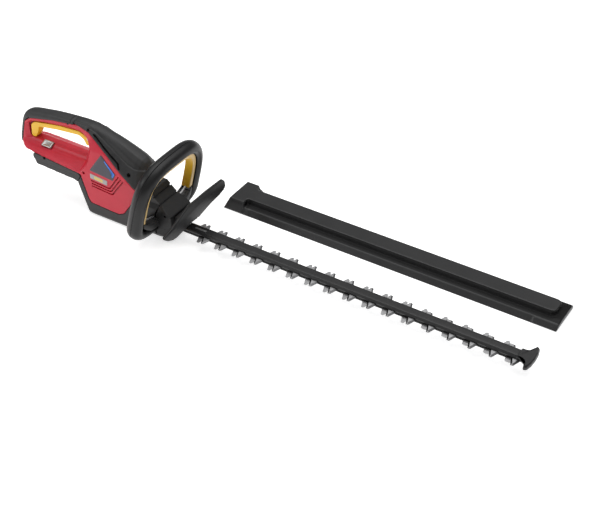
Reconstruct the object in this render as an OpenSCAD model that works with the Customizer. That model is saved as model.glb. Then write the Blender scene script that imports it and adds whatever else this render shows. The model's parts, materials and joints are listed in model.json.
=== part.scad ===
// Cordless hedge trimmer with its blade cover, in millimetres.
// X runs forward along the blades, Y to the left and Z up.
// The origin is on the floor, under the housing, on the blades' centre line.

/* [Blades] */
// Teeth on each side of each blade
teeth = 17; // [10:1:17]
// Distance between neighbouring teeth
pitch = 40; // [38:0.5:40]
// Stroke of each blade
stroke = 20; // [10:1:20]
// Distance of a tooth tip from the centre line
tooth_reach = 28.2; // [26:0.2:29]
// Thickness of one blade
blade_t = 3.1; // [2.6:0.1:3.1]
// Place of the first tooth on the right side, at mid stroke
first_tooth = 195; // [190:1:200]

/* [Guide bar] */
// Half width of the bar above the blades
bar_half = 11.2; // [10:0.2:12]
// Height of the bar
bar_h = 6; // [5:0.5:7]
// Radius of the bushes that the blades slide along
bush_r = 4; // [3.5:0.1:4.5]

/* [Drive] */
// Teeth of the drive gear
gear_teeth = 45; // [45:1:45]
// Teeth of the motor pinion
pinion_teeth = 9; // [9:1:9]
// Distance between the motor shaft and the gear axle
gear_spacing = 31.5; // [31:0.5:32]
// Place of the gear axle along the trimmer
gear_x = 72; // [70:1:74]
// Outer radius of the motor
motor_r = 22; // [20:1:22]

/* [Housing] */
// Half width of the housing and of the battery rail
body_half = 38; // [38:1:42]
// Wall thickness of the moulded shells
wall = 3; // [2:0.5:3.5]
// Half width of the rear grip
grip_half = 14; // [14:0.5:16]
// How far the soft cover stands proud of the rear grip on each side
soft_skin = 0.5; // [0.5:0.5:1.5]

/* [Front handle] */
// Half width of the loop, to the middle of the tube
loop_half = 90; // [84:1:96]
// Height of the loop's top above the floor, to the middle of the tube
loop_top = 176; // [160:1:180]
// Radius of the tube in the plane of the loop
tube_r = 13; // [12:0.5:14]
// Half depth of the tube, front to back
tube_depth = 16; // [14:0.5:17]
// Forward lean of the loop, run over rise
lean = 0.25; // [0.1:0.05:0.3]

/* [Blade cover] */
// Distance of the cover's middle from the blades' centre line
cover_y = 160; // [150:1:180]
// Length of the cover
cover_len = 704; // [690:1:720]
// Height of the cover
cover_h = 25; // [23:0.5:27]

/* [Hidden] */

$fn = 48;
gap = 0.15;

// Blades: the upper one stands 5 mm forward of mid stroke, the lower one 5 mm back
rest_shift = 5;
blade_top = 28;
upper_z = blade_top - blade_t;
lower_z = upper_z - blade_t - 0.1;
bar_z = blade_top + gap;
spine_half = 10.8;
stagger = pitch / 2;
short_from = teeth - 5;
short_reach = tooth_reach - 6;
tooth_root = 8;
tooth_tip = 3.5;
blade_end = first_tooth + (teeth - 1) * pitch + tooth_root;
bolt_xs = [for (i = [0:4]) first_tooth + (0.5 + 3.5 * i) * pitch];
bolt_r = 3;
bar_start = 106;
bar_end = blade_end + 23;

// Crank: two pins opposite each other, each in the window of its own blade
crank = stroke / 2;
crank_angle = acos(rest_shift / crank);
pin_r = 3;
roller_r = 4;
window_x = roller_r + crank + stroke / 2 + 0.5;
window_y = roller_r + crank + 1;
yoke_rim = 5;
axle_r = 4;
gear_z = 36;
gear_t = 8;
motor_x = gear_x - gear_spacing;
module_size = 2 * gear_spacing / (gear_teeth + pinion_teeth);
shaft_r = 2.5;
motor_z = 64;
motor_h = 44;

// Side outlines of the housing, as X and Z
housing_front = 66;
seam_line = [[-88, 187], [-61, 183], [-42, 174], [-11, 153], [19, 130], [43, 113], [57, 101]];
seam_back = [for (i = [len(seam_line) - 1:-1:0]) seam_line[i]];
panel_low = [[57, 101], [47, 69], [23, 34], [9, 27], [-58, 30], [-64, 39], [-77, 84]];
panel_low_back = [for (i = [len(panel_low) - 1:-1:0]) panel_low[i]];
panel = concat(seam_line, [for (i = [1:len(panel_low) - 1]) panel_low[i]], [[-77, 100]]);
rear_post = [[-212, 98], [-232, 100], [-248, 104], [-253, 112], [-250, 124], [-236, 160]];
ring = concat([[-88, 187], [-77, 185.3], [-77, 90], [-85, 90], [-166, 97]], rear_post,
    [[-228, 166], [-212, 169], [-152, 180]]);
hand_hole = [[-222, 124], [-216, 116], [-96, 116], [-84, 120], [-74, 135], [-66, 152], [-66, 166],
    [-96, 168], [-150, 166], [-212, 158], [-224, 148]];
grip_top = concat([[-88, 187], [-152, 180], [-212, 169], [-228, 166], [-236, 160], [-250, 124]],
    [[-256, 112], [-254, 124], [-240, 162], [-226, 176], [-205, 183], [-119, 190], [-88, 193]]);
hump = concat(seam_back, [[-88, 192.8], [-62, 191.5], [-30, 185.5], [2, 175.5], [29, 165], [43, 159],
    [57, 151], [64, 145], [68, 137], [70, 120], [70, 101]]);
belly = concat(panel_low_back, [[housing_front, 101], [housing_front, 5], [60, 0], [-58, 0],
    [-66, 4], [-88, 68]]);
lower_bar = [[-77, 90], [-85, 90], [-166, 97], [-212, 98], [-240, 100], [-250, 104],
    [-253, 112], [-240, 116], [-77, 116]];
rail = [[-77, 84], [-85, 90], [-166, 97], [-199, 97], [-199, 88], [-194, 80], [-192, 75], [-96, 71],
    [-88, 68]];
// Right-hand limit of the room for the gear case inside the shells
case_room = -33.6;
// Half cross-section of the housing, as Y and Z
shoulder = [[0, -1], [body_half - 4, -1], [body_half, 5], [body_half, 105], [31, 150], [24, 170],
    [16, 200], [0, 200]];
// Half cross-section of the bar under the hand hole
roof = [[0, 60], [body_half, 60], [body_half, 98], [6.4, 116], [0, 116]];

badge_t = 0.8;

// Rear controls
trigger_pivot = [-72, 158];
trigger_half = 9;
button_slope = 26.8;
button_pos = [-178, -13.5, 112.4];
// Housing screws: X, Z, the Y of the head, and the length
screw_places = [[-216, 161.5, -13, 24], [-115, 177, -13, 24], [-62, 176, -14, 26],
    [-170, 104, -14, 26], [-72, 98, -30, 50], [-240, 111, -12, 22], [46, 134, -32.5, 8]];

// Front handle: a superellipse in a leaning plane, open below
loop_z = 67;
loop_x = 94;
loop_drop = loop_z - 28.5;
loop_power = 2 / 3.45;
groove_half = 10.2;
groove_deep = 5;
lever_out = -9.8;
lever_in = -16.2;
lever_half = 9;

// Blade cover: half widths and heights of its cross-section, and the mouth's length
cover_x = 158;
cover_foot = 41;
cover_top = 32;
cover_wall = 2.5;
shelf_half = 31;
shelf_h = 11;
ridge_half = 18.5;
ridge_foot = 13;
mouth_len = 33;
ridge_back = 14;

// ---- General shapes ----

// A side outline, X and Z, between two values of Y
module slab(points, y0, y1) {
    rotate([90, 0, 0]) translate([0, 0, -y1]) linear_extrude(y1 - y0) polygon(points);
}

// The same outline shrunk by a distance
module shrunk_slab(points, by, y0, y1) {
    rotate([90, 0, 0]) translate([0, 0, -y1]) linear_extrude(y1 - y0)
        offset(delta = -by) polygon(points);
}

// A cross-section, Y and Z, between two values of X
module along_x(points, x0, x1) {
    translate([x0, 0, 0]) rotate([90, 0, 90]) linear_extrude(x1 - x0) polygon(points);
}

function mirrored(half) =
    concat(half, [for (i = [len(half) - 1:-1:0]) [-half[i][0], half[i][1]]]);

// A pin along Y
module pin_y(x, z, y0, y1, r) {
    translate([x, y1, z]) rotate([90, 0, 0]) cylinder(h = y1 - y0, r = r);
}

// A box from its lowest and highest corners
module box(low, high) {
    translate(low) cube(high - low);
}

// A round-ended slot in the blade plane
module slot2d(x, half_len, r) {
    translate([x - half_len + r, -r]) square([2 * (half_len - r), 2 * r]);
    for (side = [-1, 1]) translate([x + side * (half_len - r), 0]) circle(r = r);
}

// Straight-flanked gear teeth; the first tooth points along +X
function tooth_points(n, m) = let(p = 360 / n, r = n * m / 2) [
    for (i = [0:n - 1]) for (c = [[-0.27, -1.1], [-0.09, 0.8], [0.09, 0.8], [0.27, -1.1]])
        let(a = (i + c[0]) * p, d = r + c[1] * m) [d * cos(a), d * sin(a)]];

// A closed skin over rings of points, each ring a list of the same length
module skin(rings) {
    n = len(rings[0]);
    last = len(rings) - 1;
    polyhedron(
        points = [for (ring = rings) for (p = ring) p],
        faces = concat(
            [[for (i = [n - 1:-1:0]) i]],
            [for (k = [0:last - 1]) for (i = [0:n - 1])
                [k * n + i, k * n + (i + 1) % n, (k + 1) * n + (i + 1) % n, (k + 1) * n + i]],
            [[for (i = [0:n - 1]) last * n + i]]));
}

// ---- Front handle loop ----

function sgn_pow(v) = sign(v) * pow(abs(v), loop_power);
function loop_rise(s) = s > 0 ? loop_top - loop_z : loop_drop;
function loop_at(a) = let(z = loop_z + loop_rise(sin(a)) * sgn_pow(sin(a)))
    [loop_x + lean * (z - loop_z), loop_half * sgn_pow(cos(a)), z];
function unit(v) = v / norm(v);
loop_normal = unit([1, 0, -lean]);
// Outward direction of the loop at an angle
function loop_out(a) = unit(cross(loop_normal, unit(loop_at(a + 0.5) - loop_at(a - 0.5))) * -1);
// Angles from the right leg's end, over the top, to the left leg's end
function loop_angles(a0, steps) = [for (i = [0:steps]) 180 - a0 + (2 * a0 - 180) * i / steps];

// A section given as outward and forward distances, swept along the loop
module loop_sweep(section, a0, steps) {
    skin([for (a = loop_angles(a0, steps))
        [for (s = section) loop_at(a) + s[0] * loop_out(a) + s[1] * loop_normal]]);
}

loop_start = -79.6;
function shell_arc(side) = [for (f = [0:18:108])
    [tube_r * cos(f), side * (tube_depth * sin(f) + (f == 0 ? gap : 0))]];
function shell_section(side) = concat(shell_arc(side),
    [[-tube_r * 0.8, side * groove_half], [-groove_deep, side * groove_half],
     [-groove_deep, side * gap]]);

// ---- Housing ----

module body_form() {
    along_x(mirrored(shoulder), -100, 80);
}

// The same form, wider by a distance on each side
module grown_form(by) {
    along_x(mirrored([for (p = shoulder) [p[0] + (p[0] > 0 ? by : 0), p[1]]]), -100, 80);
}

// The right half; only that side has the power button
module shell_half(with_button) {
    difference() {
        union() {
            intersection() {
                shrunk_slab(panel, gap, -body_half, -gap);
                body_form();
            }
            difference() {
                shrunk_slab(ring, gap, -grip_half, -gap);
                slab(hand_hole, -grip_half - 1, 1);
            }
            intersection() {
                shrunk_slab(lower_bar, gap, -body_half, -gap);
                along_x(mirrored(roof), -260, -76);
            }
        }
        intersection() {
            shrunk_slab(panel, 2 * wall, -body_half + wall, 1);
            translate([0, wall, 0]) scale([1, 0.92, 1]) body_form();
        }
        // Room for the gear case, the motor and its fan
        box([10, case_room, 20], [70, 1, 103]);
        intersection() {
            box([10, -body_half, 100], [70, 1, 140]);
            translate([0, wall, 0]) scale([1, 0.92, 1]) body_form();
        }
        // Room for the trigger, its pivot and the grip's channel
        slab([[-212, 156], [-96, 170], [-60, 176], [-56, 150], [-74, 134], [-96, 150]], -10.5, 1);
        box([-226, -10.5, 112], [-200, 1, 156]);
        box([-93, -8.3, 168], [-69, 1, 180.3]);
        if (with_button) button_pocket();
        for (p = screw_places) pin_y(p[0], p[1], -body_half - 1, 1, 2.3);
        pin_y(trigger_pivot[0], trigger_pivot[1], -13, 1, 2.5);
    }
}

module right_shell() {
    color("#c8374a") shell_half(true);
}

module left_shell() {
    color("#c8374a") mirror([0, 1, 0]) shell_half(false);
}

module grip_cover() {
    color("#383838") shrunk_slab(grip_top, gap, -grip_half - soft_skin, grip_half + soft_skin);
}

module motor_cover() {
    color("#3a3a3a") difference() {
        intersection() {
            shrunk_slab(hump, gap, -body_half, body_half);
            body_form();
        }
        intersection() {
            slab([[-60, 150], [-56, 185], [-30, 180], [2, 170], [29, 159.5], [43, 153.5], [57, 145.5],
                [64, 135], [66, 118], [66, 90]], -body_half, body_half);
            scale([1, 0.9, 1]) body_form();
        }
        for (p = screw_places) pin_y(p[0], p[1], -body_half - 1, 0, 2.3);
    }
}

module bottom_cover() {
    color("#3c3c3c") difference() {
        intersection() {
            shrunk_slab(belly, gap, -body_half, body_half);
            body_form();
        }
        slab([[-58, 4], [-80, 68], [-60, 120], [70, 120], [70, 2.9], [-50, 2.9]],
            -body_half + wall, body_half - wall);
    }
}

module battery_rail() {
    color("#333333") difference() {
        shrunk_slab(rail, gap, -body_half, body_half);
        box([-200, -28, 70], [-100, 28, 82]);
        for (s = [-1, 1]) box([-200, s * 31 - 3, 77], [-100, s * 31 + 3, 81]);
    }
}

module battery_terminals() {
    color("#b08a3c") for (i = [-2:2])
        box([-116, i * 8 - 1, 76.5], [-101, i * 8 + 1, 81.9]);
}

module housing_screws() {
    color("#222222") for (p = screw_places) pin_y(p[0], p[1], p[2], p[2] + p[3], 2.2);
}

module side_badges() {
    color("#46414f") for (s = [0, 1]) mirror([0, s, 0]) difference() {
        intersection() {
            slab([[-20, 150], [12, 118], [2, 103], [-52, 107]], -50, -20);
            grown_form(gap + badge_t);
        }
        grown_form(gap);
    }
}

// ---- Rear controls ----

module rear_trigger() {
    color("#e1b932") difference() {
        union() {
            slab([[-221, 118], [-218, 115], [-208, 117], [-203, 136], [-143, 144], [-98, 150],
                [-86, 147], [-78, 139], [-71, 146], [-78, 158], [-96, 162], [-150, 157],
                [-212, 148], [-220, 141]], -trigger_half, trigger_half);
            pin_y(trigger_pivot[0], trigger_pivot[1], -trigger_half, trigger_half, 7);
            slab([[-96, 162], [-78, 158], [-71, 152], [-72, 164], [-96, 165]], -4, 4);
        }
        pin_y(trigger_pivot[0], trigger_pivot[1], -20, 20, 2.55);
    }
}

module trigger_pin() {
    color("#b9b9b9") pin_y(trigger_pivot[0], trigger_pivot[1], -13, 13, 2.5);
}

// A round wire coil standing on Z
module coil(r, wire, height, turns) {
    steps = turns * 12;
    skin([for (i = [0:steps]) let(a = 30 * i, z = height * i / steps)
        [for (f = [0:60:300]) [(r + wire * cos(f)) * cos(a), (r + wire * cos(f)) * sin(a),
            z - wire * sin(f)]]]);
}

module trigger_spring() {
    color("#a8a8a8") translate([-192, 0, 152]) coil(3.5, 0.5, 7.4, 5);
}

module rear_switch() {
    color("#2a2a2a") box([-92, -8, 171], [-70, 8, 180]);
    color("#2a2a2a") box([-88, -2, 169], [-84, 2, 171]);
}

module on_slope() {
    translate(button_pos) rotate([button_slope, 0, 0]) children();
}

module button_pocket() {
    on_slope() box([-12.5, -8.5, -12], [12.5, 7.6, 8]);
}

module power_button() {
    color("#c9ccce") on_slope() {
        box([-12, -8, -1], [12, 7, 3]);
        translate([0, 0, -4]) cylinder(h = 3.2, r = 2);
    }
}

module button_switch() {
    color("#2a2a2a") on_slope() box([-5.5, -5, -11], [5, 5, -6.2]);
}

module control_board() {
    color("#2f6b45") box([-52, -24, 40], [8, 24, 41.6]);
    color("#333333") for (i = [0:3]) box([-46 + 14 * i, -18, 41.6], [-38 + 14 * i, -8, 52]);
    color("#777777") for (i = [0:1])
        translate([-40 + 30 * i, 10, 41.6]) cylinder(h = 20, r = 7);
}

// ---- Front handle ----

// Axis of a screw through the loop, at an angle
module at_loop(a) {
    translate(loop_at(a)) rotate([0, 90 + atan(lean), 0]) children();
}

module handle_shell(side) {
    section = shell_section(side);
    difference() {
        loop_sweep(side > 0 ? section : [for (i = [len(section) - 1:-1:0]) section[i]],
            loop_start, 56);
        for (a = [30, 90, 150]) at_loop(a) translate([0, 0, -30]) cylinder(h = 60, r = 1.9);
    }
}

module front_handle_rear_shell() {
    color("#444444") handle_shell(-1);
}

module front_handle_front_shell() {
    color("#303030") handle_shell(1);
}

module front_handle_screws() {
    color("#222222") for (a = [30, 90, 150])
        at_loop(a) translate([0, 0, -12]) cylinder(h = 20, r = 1.8);
}

module front_lever() {
    color("#e1b932") loop_sweep([[lever_in, -lever_half], [lever_out, -lever_half],
        [lever_out, lever_half], [lever_in, lever_half]], -6, 40);
}

module lever_guides() {
    color("#9a9a9a") for (s = [-1, 1])
        translate([loop_x - 5, s * 34, 48]) rotate([-s * 75, 0, 0]) cylinder(h = 34, r = 3);
}

module lever_springs() {
    color("#a8a8a8") for (s = [-1, 1])
        translate([loop_x - 2.6, s * 76.6, 47]) coil(3, 0.5, 9, 5);
}

module front_switch() {
    color("#2a2a2a") box([86, -23.5, 64], [98, -12, 76]);
}

// ---- Motor and gear ----

module at_motor() {
    translate([motor_x, 0, 0]) children();
}

module motor_stator() {
    color("#8c8f92") at_motor() translate([0, 0, motor_z]) difference() {
        cylinder(h = motor_h, r = motor_r);
        translate([0, 0, -1]) cylinder(h = motor_h + 2, r = motor_r - 7);
    }
    color("#b5652b") at_motor() for (z = [motor_z - 3, motor_z + motor_h])
        translate([0, 0, z]) difference() {
            cylinder(h = 3, r = motor_r - 2);
            translate([0, 0, -1]) cylinder(h = 5, r = motor_r - 6);
        }
}

module motor_rotor() {
    color("#9da1a5") at_motor() {
        translate([0, 0, motor_z + 1]) cylinder(h = motor_h - 2, r = motor_r - 7.6);
        translate([0, 0, gear_z - 2]) cylinder(h = 102, r = shaft_r);
        translate([0, 0, gear_z]) linear_extrude(gear_t)
            polygon(tooth_points(pinion_teeth, module_size));
    }
}

module ring_z(z, h, r_out, r_in) {
    translate([0, 0, z]) difference() {
        cylinder(h = h, r = r_out);
        translate([0, 0, -1]) cylinder(h = h + 2, r = r_in);
    }
}

module motor_bearings() {
    color("#c2c5c8") at_motor() for (z = [53, 113]) ring_z(z, 5, 8, shaft_r + 0.05);
}

module motor_mount() {
    color("#55585b") at_motor() {
        difference() {
            translate([-22, -24, 52.1]) cube([44, 48, 8.4]);
            translate([0, 0, 50]) cylinder(h = 12, r = 8);
        }
        ring_z(111.5, 7, 16, 8);
        for (a = [45:90:315]) rotate([0, 0, a])
            translate([motor_r + 2.5, 0, 60]) cylinder(h = 53, r = 2);
        for (a = [45:90:315]) rotate([0, 0, a])
            translate([15.5, -3, 111.5]) cube([11, 6, 3]);
    }
}

module cooling_fan() {
    color("#2b2b2b") at_motor() {
        ring_z(122, 10, 5, shaft_r);
        ring_z(122, 1.5, 18, 4.9);
        for (a = [0:40:320]) rotate([0, 0, a]) translate([4.5, -0.7, 123]) cube([13, 1.4, 8]);
    }
}

// Outline of the gear case from above and from the side
case_side = [[29, 3], [29, 52], [66.5, 52], [66.5, 100.6], [84, 100.6], [108, 80], [133, 60],
    [133, 16], [118, 10], [100, 3]];
case_half = [[0, 0], [26, 0], [33, 12], [33, 68], [27, 80], [27, 110], [0, 110]];
case_split = 30;

module case_form() {
    intersection() {
        slab(case_side, -33, 33);
        along_x(mirrored(case_half), 20, 140);
    }
}

module gear_case_upper() {
    color("#2f2f2f") difference() {
        case_form();
        box([0, -50, 0], [200, 50, case_split]);
        translate([gear_x, 0, case_split - 1]) cylinder(h = 18, r = 29.5);
        at_motor() translate([0, 0, case_split - 1]) cylinder(h = 30, r = 8.6);
        box([bar_start - 0.3, -bar_half - 0.2, 28], [140, bar_half + 0.2, bar_z + bar_h + 0.2]);
        translate([gear_x, 0, 20]) cylinder(h = 38, r = axle_r);
        slab([[66, 62], [66, 97], [83, 97], [106, 77], [120, 64]], -24, 24);
        for (s = [-1, 1]) for (x = [38, 124])
            translate([x, s * 24.5, 25]) cylinder(h = 15, r = 2);
        for (s = [-1, 1]) translate([120, s * 10, 48]) rotate([0, 90, 0]) cylinder(h = 20, r = 2);
    }
}

module gear_case_lower() {
    color("#2c2c2c") difference() {
        case_form();
        box([0, -50, case_split - gap], [200, 50, 200]);
        box([31.5, -window_y - yoke_rim - 1.2, 20.8], [113, window_y + yoke_rim + 1.2, 40]);
        box([110, -14, 20.8], [140, 14, 40]);
        translate([gear_x, 0, 10]) cylinder(h = 30, r = axle_r);
        for (s = [-1, 1]) for (x = [38, 124])
            translate([x, s * 24.5, -1]) cylinder(h = 40, r = 2);
    }
}

module gear_case_screws() {
    color("#8f8f8f") for (s = [-1, 1]) for (x = [38, 124])
        translate([x, s * 24.5, 12.5]) cylinder(h = 26, r = 2);
}

module blade_seal() {
    color("#1d1d1d") difference() {
        box([133.2, -16, 17], [136.2, 16, 38]);
        box([130, -14, 20.8], [140, 14, 34.6]);
    }
}

module drive_gear() {
    color("#a9adb0") translate([gear_x, 0, 0]) {
        difference() {
            union() {
                translate([0, 0, gear_z]) linear_extrude(gear_t)
                    polygon(tooth_points(gear_teeth, module_size));
                translate([0, 0, gear_z - 2]) cylinder(h = gear_t + 3, r = 5.7);
            }
            cylinder(h = 60, r = axle_r + 0.05);
        }
        for (s = [0, 1]) rotate([0, 0, crank_angle + 180 * s])
            translate([crank, 0, s == 0 ? upper_z + 0.2 : lower_z + 0.2])
                cylinder(h = gear_z - (s == 0 ? upper_z : lower_z), r = pin_r);
    }
}

module crank_rollers() {
    color("#c8a24a") for (s = [0, 1]) translate([gear_x, 0, 0])
        rotate([0, 0, crank_angle + 180 * s]) translate([crank, 0, 0])
            ring_z(s == 0 ? upper_z + 0.2 : lower_z + 0.2, blade_t - 0.4, roller_r, pin_r);
}

module gear_axle() {
    color("#c2c5c8") translate([gear_x, 0, 10]) cylinder(h = 48, r = axle_r);
}

// ---- Blades ----

module tooth2d(reach, blunt) {
    tip = blunt ? tooth_tip + 1 : tooth_tip;
    polygon([[-tooth_root, spine_half - 1], [tooth_root, spine_half - 1],
        [tip, reach - (blunt ? 0 : tooth_tip)], [-tip, reach - (blunt ? 0 : tooth_tip)]]);
    if (!blunt) translate([0, reach - tooth_tip]) circle(r = tooth_tip);
}

// One blade at mid stroke; short_side is the side whose last five teeth are short
module blade(short_side) {
    linear_extrude(blade_t) difference() {
        union() {
            translate([gear_x, -spine_half]) square([blade_end - gear_x, 2 * spine_half]);
            translate([gear_x - window_x - yoke_rim, -window_y - yoke_rim])
                square([2 * (window_x + yoke_rim), 2 * (window_y + yoke_rim)]);
            for (i = [0:teeth - 1]) for (side = [-1, 1])
                translate([first_tooth + i * pitch - (side > 0 ? stagger : 0), 0])
                    rotate(side > 0 ? 0 : 180)
                        if (side == short_side && i >= short_from) tooth2d(short_reach, true);
                        else tooth2d(tooth_reach, false);
        }
        translate([gear_x - window_x, -window_y]) square([2 * window_x, 2 * window_y]);
        for (x = bolt_xs) slot2d(x, bush_r + stroke / 2 + 0.3, bush_r + 0.1);
    }
}

module upper_blade() {
    color("#b4b6b8") translate([rest_shift, 0, upper_z]) blade(1);
}

module lower_blade() {
    color("#b4b6b8") translate([-rest_shift, 0, lower_z]) blade(-1);
}

module guide_bar() {
    color("#1c1c1c") difference() {
        along_x([[-bar_half, bar_z], [bar_half, bar_z], [bar_half, bar_z + 2.6],
            [bar_half - 4, bar_z + bar_h], [4 - bar_half, bar_z + bar_h], [-bar_half, bar_z + 2.6]],
            bar_start, bar_end);
        for (x = bolt_xs) translate([x, 0, 20]) cylinder(h = 13, r = bolt_r);
        translate([bar_end - 6, 0, 20]) cylinder(h = 30, r = 2);
    }
}

module blade_bushes() {
    color("#8d8f91") for (x = bolt_xs) translate([x, 0, 0])
        ring_z(lower_z - 0.2, bar_z - lower_z + 0.2, bush_r, bolt_r);
}

module blade_washers() {
    color("#8d8f91") for (x = bolt_xs) translate([x, 0, 0])
        ring_z(lower_z - 1.8, 1.6, 9, bolt_r);
}

module blade_bolts() {
    color("#6c6e70") for (x = bolt_xs) translate([x, 0, 0]) {
        translate([0, 0, lower_z - 5.3]) cylinder(h = 3.5, r = 5.5, $fn = 6);
        translate([0, 0, lower_z - 1.8]) cylinder(h = 33 - lower_z + 1.8, r = bolt_r);
    }
}

module tip_guard() {
    color("#262626") difference() {
        union() {
            translate([0, 0, 20]) linear_extrude(14.4) polygon([[bar_end - 9, -11.5],
                [bar_end - 5, -24], [bar_end - 2, -32], [bar_end + 5, -27], [bar_end + 9, -14],
                [bar_end + 10, 0], [bar_end + 9, 14], [bar_end + 5, 27], [bar_end - 2, 32],
                [bar_end - 5, 24], [bar_end - 9, 11.5]]);
            along_x([[-12.5, bar_z], [12.5, bar_z], [12.5, bar_z + 4], [8.5, bar_z + 7.6],
                [-8.5, bar_z + 7.6], [-12.5, bar_z + 4]], bar_end - 26, bar_end + 2);
        }
        along_x([[-bar_half - gap, bar_z - 1], [bar_half + gap, bar_z - 1],
            [bar_half + gap, bar_z + 2.7], [bar_half - 4, bar_z + bar_h + gap],
            [4 - bar_half, bar_z + bar_h + gap], [-bar_half - gap, bar_z + 2.7]],
            bar_end - 30, bar_end + gap);
        translate([bar_end - 6, 0, 10]) cylinder(h = 40, r = 2);
    }
}

module tip_guard_screw() {
    color("#777777") translate([bar_end - 6, 0, 22]) cylinder(h = 13.5, r = 2);
}

module hand_guard() {
    color("#3a3a3a") difference() {
        union() {
            translate([160, 0, 0]) along_x([[-100, 70], [-97, 64], [-87, 56], [-71, 48], [-50, 45],
                [-20, 45], [0, 46], [20, 45], [50, 50], [71, 56], [87, 62], [97, 68], [101, 76],
                [98, 86], [90, 91], [0, 91], [-20, 90], [-50, 82], [-73, 76], [-90, 74]], 0, 6);
            box([133.3, -20, 40], [160, 20, 58]);
        }
        for (s = [-1, 1])
            translate([130, s * 10, 48]) rotate([0, 90, 0]) cylinder(h = 40, r = 2.1);
    }
}

module hand_guard_screws() {
    color("#777777") for (s = [-1, 1]) translate([121, s * 10, 48])
        rotate([0, 90, 0]) cylinder(h = 42, r = 2);
}

// ---- Blade cover ----

// Outer or inner half section of the cover, as Y and Z
function cover_section(in, low, ridge) = concat(
    [[0, low], [cover_foot - in, low], [shelf_half - in, shelf_h - in], [ridge_half + 1 - in * 0.9,
        ridge_foot - in]],
    ridge ? [[ridge_half - in, cover_h - in], [0, cover_h - in]] : [[0, ridge_foot - in]]);

module blade_cover() {
    ridge_end = cover_len - ridge_back;
    color("#2b2b2b") translate([cover_x, cover_y, 0]) difference() {
        union() {
            along_x(mirrored([[0, 0], [cover_foot, 0], [cover_top, cover_h], [0, cover_h]]),
                0, mouth_len);
            along_x(mirrored(cover_section(0, 0, true)), mouth_len - 1, ridge_end);
            along_x(mirrored(cover_section(0, 0, false)), ridge_end - 1, cover_len);
        }
        along_x(mirrored([[0, -1], [cover_foot - cover_wall - 1, -1],
            [cover_top - cover_wall, cover_h - cover_wall], [0, cover_h - cover_wall]]),
            -1, mouth_len - cover_wall);
        along_x(mirrored(cover_section(cover_wall, -1, true)), mouth_len - 3,
            ridge_end - cover_wall);
        along_x(mirrored(cover_section(cover_wall, -1, false)), ridge_end - 3,
            cover_len - cover_wall);
    }
}

right_shell();
left_shell();
grip_cover();
motor_cover();
bottom_cover();
battery_rail();
battery_terminals();
rear_trigger();
trigger_pin();
trigger_spring();
rear_switch();
power_button();
button_switch();
control_board();
front_handle_rear_shell();
front_handle_front_shell();
front_handle_screws();
front_lever();
lever_guides();
lever_springs();
front_switch();
motor_stator();
motor_rotor();
motor_bearings();
motor_mount();
cooling_fan();
gear_case_upper();
gear_case_lower();
gear_case_screws();
blade_seal();
drive_gear();
crank_rollers();
gear_axle();
upper_blade();
lower_blade();
guide_bar();
blade_bushes();
blade_washers();
blade_bolts();
tip_guard();
tip_guard_screw();
hand_guard();
hand_guard_screws();
housing_screws();
side_badges();
blade_cover();
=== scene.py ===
"""Looks of the cordless hedge trimmer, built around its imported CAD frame.

Lengths are in millimetres and are turned into metres when a mesh is made.
X runs forward along the blades, Y to the operator's left and Z up.
"""

import json
import math

import bmesh
import bpy
from mathutils import Matrix, Vector
from mathutils.bvhtree import BVHTree
from mathutils.kdtree import KDTree


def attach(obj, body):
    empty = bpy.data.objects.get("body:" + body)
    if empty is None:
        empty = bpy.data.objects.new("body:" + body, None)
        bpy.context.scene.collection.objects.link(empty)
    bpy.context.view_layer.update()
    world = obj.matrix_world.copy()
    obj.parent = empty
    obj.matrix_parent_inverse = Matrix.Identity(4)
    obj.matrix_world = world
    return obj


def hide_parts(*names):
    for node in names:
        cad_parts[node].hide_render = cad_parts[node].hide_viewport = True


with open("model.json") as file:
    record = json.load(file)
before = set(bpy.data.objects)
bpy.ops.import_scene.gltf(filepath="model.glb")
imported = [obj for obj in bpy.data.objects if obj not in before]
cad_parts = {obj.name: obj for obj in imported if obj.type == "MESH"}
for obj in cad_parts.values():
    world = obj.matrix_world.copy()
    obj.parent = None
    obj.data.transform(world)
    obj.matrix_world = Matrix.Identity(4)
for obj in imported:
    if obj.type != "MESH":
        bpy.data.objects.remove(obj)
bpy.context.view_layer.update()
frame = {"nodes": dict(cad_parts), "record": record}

MM = 0.001
SCENE = bpy.context.scene


# ---- Camera, light and floor ----

# The camera's place in metres, its tilt and turn in degrees, its lens in mm and its reach in metres
CAMERA_PLACE, CAMERA_TILT, CAMERA_TURN = (1.3910, -1.5851, 1.5131), 52.271, 31.958
CAMERA_LENS, CAMERA_REACH = 77.72, 50
# The sky's colours low and high, where the change between them starts and ends, and its strength
SKY_COLORS, SKY_RANGE, SKY_STRENGTH = ((0.25, 0.25, 0.255), (1, 1, 1)), (0.1, 0.9), 0.6
# Lamps: name, place, target and size in metres, and power in watts
LAMPS = [
    ("overhead", (0.1, 0.45, 2.1), (0.3, 0, 0.1), (3.0, 2.0), 38),
    ("left_key", (-1.7, -1.5, 1.5), (0, 0, 0.1), (1.2, 1.0), 15),
]
# The floor's half width, the heights of its faces, and how strongly it glows
FLOOR_HALF, FLOOR_TOP, FLOOR_LOW, FLOOR_GLOW = 9000, -0.6, -9, 0.62


def make_camera():
    data = bpy.data.cameras.new("camera")
    data.lens = CAMERA_LENS
    data.clip_end = CAMERA_REACH
    camera = bpy.data.objects.new("camera", data)
    camera.location = CAMERA_PLACE
    camera.rotation_euler = (math.radians(CAMERA_TILT), 0, math.radians(CAMERA_TURN))
    SCENE.collection.objects.link(camera)
    SCENE.camera = camera


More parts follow.
